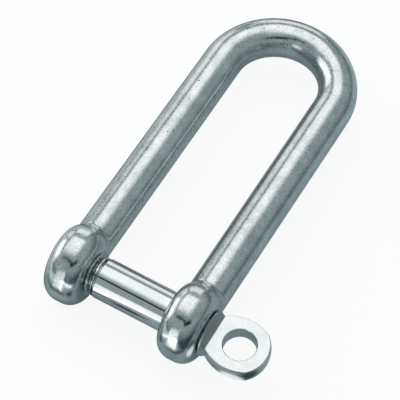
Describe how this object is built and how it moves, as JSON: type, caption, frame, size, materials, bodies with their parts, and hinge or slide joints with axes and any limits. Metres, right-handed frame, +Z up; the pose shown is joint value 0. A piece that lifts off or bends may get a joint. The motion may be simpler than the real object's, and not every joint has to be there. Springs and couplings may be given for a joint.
{
  "type": "dee shackle",
  "caption": "Long dee shackle: a bent round bar with forged ears, closed by a screw pin that ends in a flat pierced eye.",
  "frame": {"origin": "bottom centre of the whole shackle's box, lying on its side with the pin screwed home", "axes": "+X along the pin towards its eye, +Y along the legs towards the bow, +Z up, square to the plane of the legs"},
  "size_m": [0.045, 0.0796, 0.0162],
  "materials": {
    "body_steel": "buffed stainless steel, fairly bright, with fine pits",
    "pin_steel": "turned and polished stainless steel"
  },
  "bodies": {
    "body": {"shackle_body": "body_steel"},
    "pin": {"screw_pin": "pin_steel"}
  },
  "joints": [
    {"name": "pin_withdraw", "type": "slide", "parent": "body", "child": "pin", "axis": [1, 0, 0], "range_m": [0, 0.025]}
  ]
}
